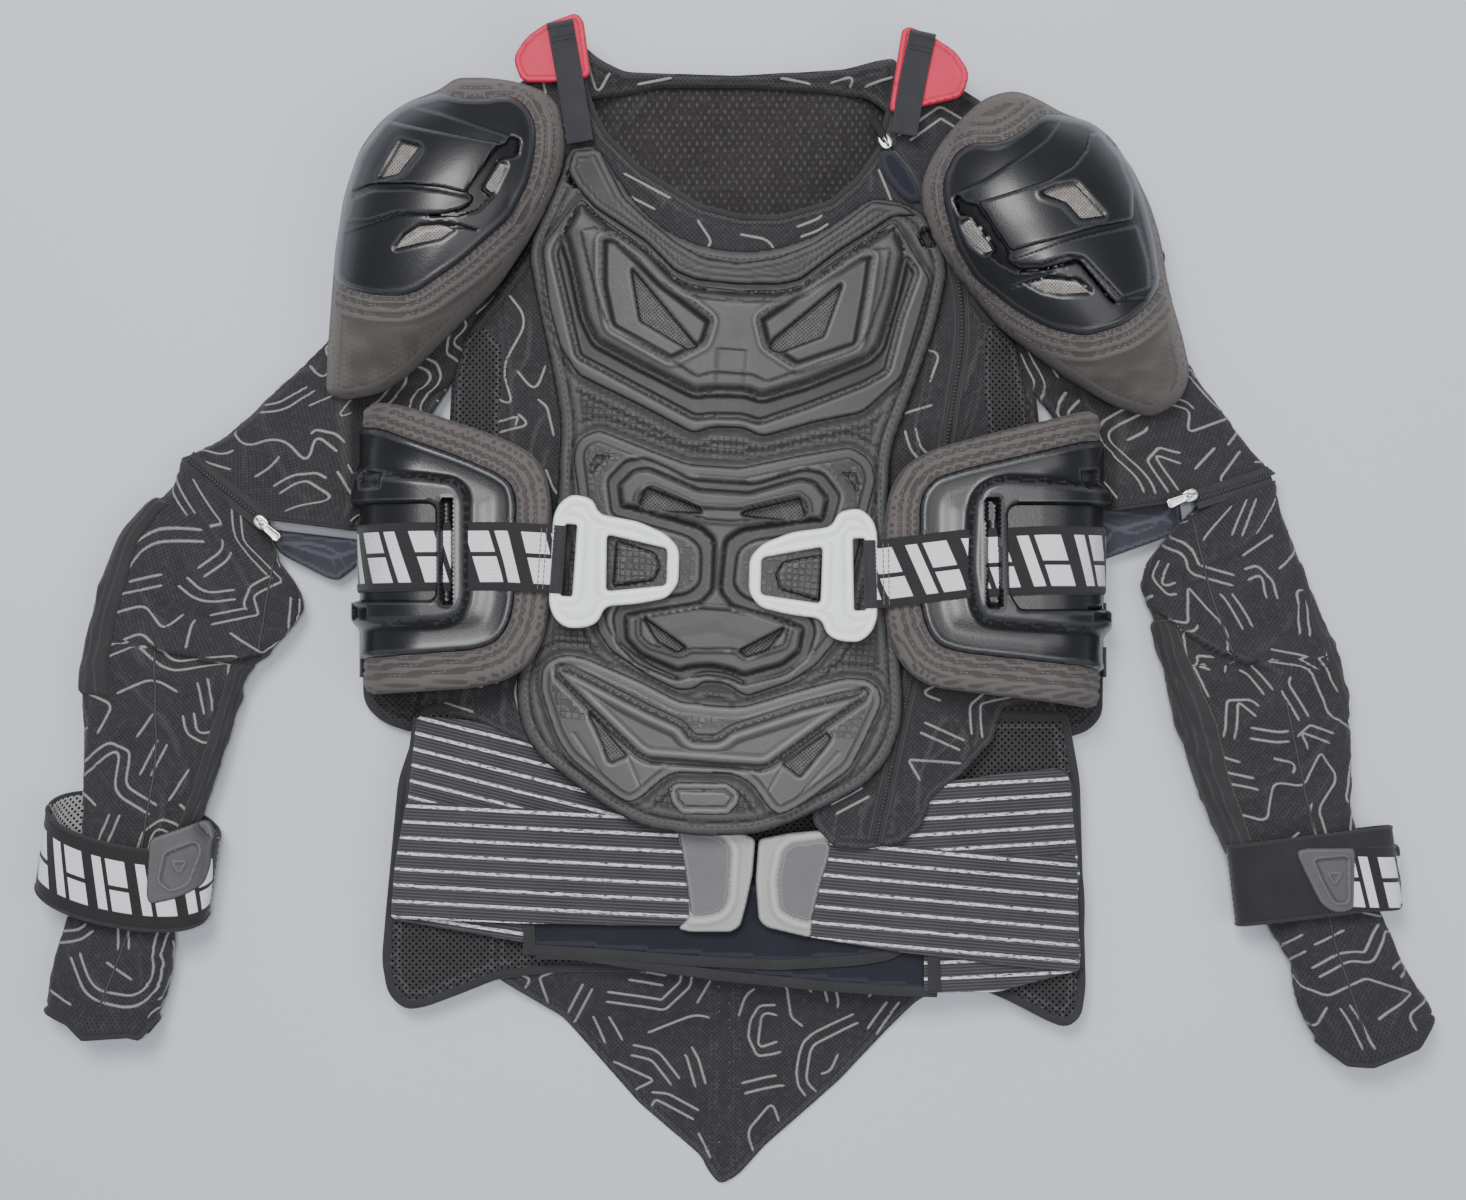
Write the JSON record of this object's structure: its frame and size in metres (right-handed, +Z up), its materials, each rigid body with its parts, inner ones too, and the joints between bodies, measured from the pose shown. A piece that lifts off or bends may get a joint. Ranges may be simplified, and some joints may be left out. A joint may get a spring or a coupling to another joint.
{
  "type": "off-road body protector jacket",
  "caption": "Mesh off-road jacket laid flat on its back, with chest, rib, shoulder, elbow and back armour, quick buckles, wrist straps and a kidney belt.",
  "frame": {"origin": "on the surface the jacket lies on, at the middle of its footprint", "axes": "+Z up out of the chest, +Y towards the collar, +X towards the wearer's left"},
  "size_m": [0.9405, 0.7834, 0.1039],
  "materials": {
    "armour_plate": "moulded, matte, textured",
    "belt_elastic": "ribbed elastic with pale stripes",
    "belt_grip": "moulded rubber",
    "buckle_white": "moulded, satin",
    "foam": "covered padding",
    "gloss_shell": "moulded, semi-gloss",
    "lining": "knitted lining",
    "mesh_fabric": "perforated stretch mesh",
    "red_tab": "felt-like",
    "webbing": "woven elastic",
    "zip_metal": "cast metal",
    "zip_tape": "woven tape with moulded teeth"
  },
  "bodies": {
    "jacket": {"jacket_front_panel": "mesh_fabric", "jacket_back_panel": "mesh_fabric", "jacket_tail": "mesh_fabric", "collar_band": "lining", "neck_strap_tabs": "red_tab", "back_foam": "foam", "back_plate_top": "armour_plate", "back_plate_middle": "armour_plate", "back_plate_lower": "armour_plate", "side_wing_l": "mesh_fabric", "side_wing_r": "mesh_fabric", "hinge_webs": "webbing", "chest_foam_base": "foam", "chest_plate_upper": "armour_plate", "chest_plate_middle": "armour_plate", "chest_plate_lower": "armour_plate", "chest_tab": "armour_plate", "lumbar_pad": "lining", "belt_elastic_l": "belt_elastic", "belt_elastic_r": "belt_elastic", "front_zip_tape": "zip_tape"},
    "rib_guard_l": {"rib_pad_l": "foam", "rib_shell_l": "gloss_shell", "side_strap_l": "webbing"},
    "buckle_l": {"buckle_l": "buckle_white"},
    "belt_wing_l": {"belt_wing_l": "belt_elastic", "belt_grip_l": "belt_grip"},
    "shoulder_cup_l": {"shoulder_pad_l": "foam", "shoulder_shell_l": "gloss_shell", "shoulder_blade_l": "gloss_shell"},
    "sleeve_l": {"upper_sleeve_l": "mesh_fabric", "elbow_sleeve_l": "mesh_fabric", "sleeve_l_zip_tape": "zip_tape"},
    "sleeve_slider_l": {"sleeve_l_zip_slider": "zip_metal"},
    "forearm_l": {"forearm_sleeve_l": "mesh_fabric", "elbow_pad_l": "foam", "wrist_band_l": "webbing"},
    "wrist_tab_l": {"wrist_tab_l": "belt_grip"},
    "neck_strap_l": {"neck_strap_l": "webbing"},
    "rib_guard_r": {"rib_pad_r": "foam", "rib_shell_r": "gloss_shell", "side_strap_r": "webbing"},
    "buckle_r": {"buckle_r": "buckle_white"},
    "belt_wing_r": {"belt_wing_r": "belt_elastic", "belt_grip_r": "belt_grip"},
    "shoulder_cup_r": {"shoulder_pad_r": "foam", "shoulder_shell_r": "gloss_shell", "shoulder_blade_r": "gloss_shell"},
    "sleeve_r": {"upper_sleeve_r": "mesh_fabric", "elbow_sleeve_r": "mesh_fabric", "sleeve_r_zip_tape": "zip_tape"},
    "sleeve_slider_r": {"sleeve_r_zip_slider": "zip_metal"},
    "forearm_r": {"forearm_sleeve_r": "mesh_fabric", "elbow_pad_r": "foam", "wrist_band_r": "webbing"},
    "wrist_tab_r": {"wrist_tab_r": "belt_grip"},
    "neck_strap_r": {"neck_strap_r": "webbing"},
    "front_slider": {"front_zip_slider": "zip_metal"},
    "front_puller": {"front_zip_puller": "zip_metal"}
  },
  "joints": [
    {"name": "rib_guard_l_swing", "type": "hinge", "parent": "jacket", "child": "rib_guard_l", "pos_m": [-0.262, 0.02, 0.027], "axis": [0, -1, 0], "range_deg": [0, 70]},
    {"name": "buckle_l_lift", "type": "hinge", "parent": "rib_guard_l", "child": "buckle_l", "pos_m": [-0.11465, 0.02654, 0.0724], "axis": [-0.0692, -0.9976, 0], "range_deg": [0, 80]},
    {"name": "belt_wing_l_open", "type": "hinge", "parent": "jacket", "child": "belt_wing_l", "pos_m": [-0.231, -0.17, 0.032], "axis": [0, -1, 0], "range_deg": [0, 95]},
    {"name": "rib_guard_r_swing", "type": "hinge", "parent": "jacket", "child": "rib_guard_r", "pos_m": [0.26, 0.02, 0.027], "axis": [0, 1, 0], "range_deg": [0, 70]},
    {"name": "buckle_r_lift", "type": "hinge", "parent": "rib_guard_r", "child": "buckle_r", "pos_m": [0.08986, 0.01234, 0.0724], "axis": [0.0692, 0.9976, 0], "range_deg": [0, 80]},
    {"name": "belt_wing_r_open", "type": "hinge", "parent": "jacket", "child": "belt_wing_r", "pos_m": [0.234, -0.21, 0.032], "axis": [0, 1, 0], "range_deg": [0, 95]},
    {"name": "shoulder_cup_l_lift", "type": "hinge", "parent": "jacket", "child": "shoulder_cup_l", "pos_m": [-0.106, 0.3, 0.04], "axis": [0.36, 0.933, 0], "range_deg": [0, 20]},
    {"name": "shoulder_cup_r_lift", "type": "hinge", "parent": "jacket", "child": "shoulder_cup_r", "pos_m": [0.121, 0.29, 0.04], "axis": [0.1689, -0.9856, 0], "range_deg": [0, 20]},
    {"name": "shoulder_l_swing", "type": "hinge", "parent": "jacket", "child": "sleeve_l", "pos_m": [-0.186, 0.236, 0.017], "axis": [0, 0, 1], "range_deg": [-35, 0]},
    {"name": "shoulder_r_swing", "type": "hinge", "parent": "jacket", "child": "sleeve_r", "pos_m": [0.204, 0.222, 0.017], "axis": [0, 0, 1], "range_deg": [0, 35]},
    {"name": "elbow_l_bend", "type": "hinge", "parent": "sleeve_l", "child": "forearm_l", "pos_m": [-0.374, -0.03, 0.017], "axis": [0, 0, 1], "range_deg": [-20, 20]},
    {"name": "elbow_r_bend", "type": "hinge", "parent": "sleeve_r", "child": "forearm_r", "pos_m": [0.359, -0.042, 0.017], "axis": [0, 0, 1], "range_deg": [-18, 20]},
    {"name": "sleeve_l_zip", "type": "slide", "parent": "sleeve_l", "child": "sleeve_slider_l", "axis": [-0.7431, 0.6691, 0], "range_m": [0, 0.044]},
    {"name": "sleeve_r_zip", "type": "slide", "parent": "sleeve_r", "child": "sleeve_slider_r", "axis": [0.9272, 0.3746, 0], "range_m": [0, 0.04]},
    {"name": "wrist_tab_l_open", "type": "hinge", "parent": "forearm_l", "child": "wrist_tab_l", "pos_m": [-0.46643, -0.17179, 0.022], "axis": [-0.1392, -0.9903, 0], "range_deg": [0, 70]},
    {"name": "wrist_tab_r_open", "type": "hinge", "parent": "forearm_r", "child": "wrist_tab_r", "pos_m": [0.44858, -0.17905, 0.022], "axis": [-0.1219, 0.9925, 0], "range_deg": [0, 70]},
    {"name": "neck_strap_l_lift", "type": "hinge", "parent": "jacket", "child": "neck_strap_l", "pos_m": [-0.092, 0.304, 0.057], "axis": [0.977, 0.2134, 0], "range_deg": [0, 90]},
    {"name": "neck_strap_r_lift", "type": "hinge", "parent": "jacket", "child": "neck_strap_r", "pos_m": [0.109, 0.312, 0.057], "axis": [0.9701, -0.2425, 0], "range_deg": [0, 90]},
    {"name": "front_zip", "type": "slide", "parent": "jacket", "child": "front_slider", "axis": [0.515, -0.8572, 0], "range_m": [0, 0.016]},
    {"name": "front_puller_lift", "type": "hinge", "parent": "front_slider", "child": "front_puller", "pos_m": [0.101, 0.304, 0.055], "axis": [0.8572, 0.515, 0], "range_deg": [0, 85]}
  ]
}
